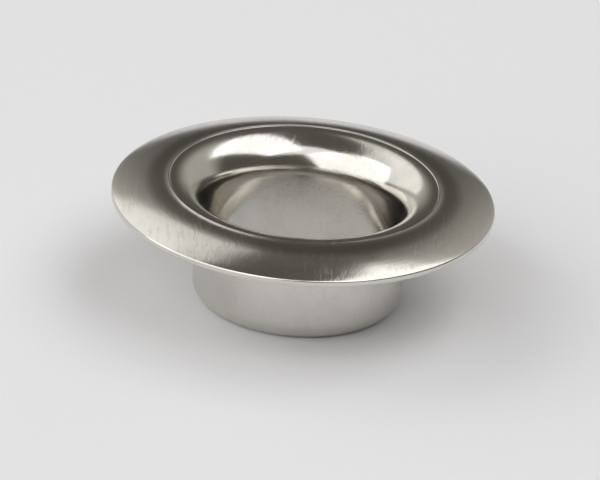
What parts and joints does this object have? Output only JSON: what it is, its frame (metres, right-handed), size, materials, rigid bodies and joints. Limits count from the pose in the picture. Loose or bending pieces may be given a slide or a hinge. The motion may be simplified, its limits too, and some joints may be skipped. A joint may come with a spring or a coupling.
{
  "type": "grommet eyelet",
  "caption": "One-piece drawn sheet eyelet: a straight barrel with a curled-in end, a trumpet lip, and a broad domed flange with a creased crown and a rim that turns down.",
  "frame": {"origin": "on the axis, at the plane of the barrel's free end", "axes": "+Z along the axis, from the barrel's free end towards the face of the flange"},
  "size_m": [0.0196, 0.0196, 0.0064],
  "materials": {
    "eyelet": "bright nickel plate, satin on the face"
  },
  "bodies": {
    "root": {"eyelet": "eyelet"}
  },
  "joints": []
}
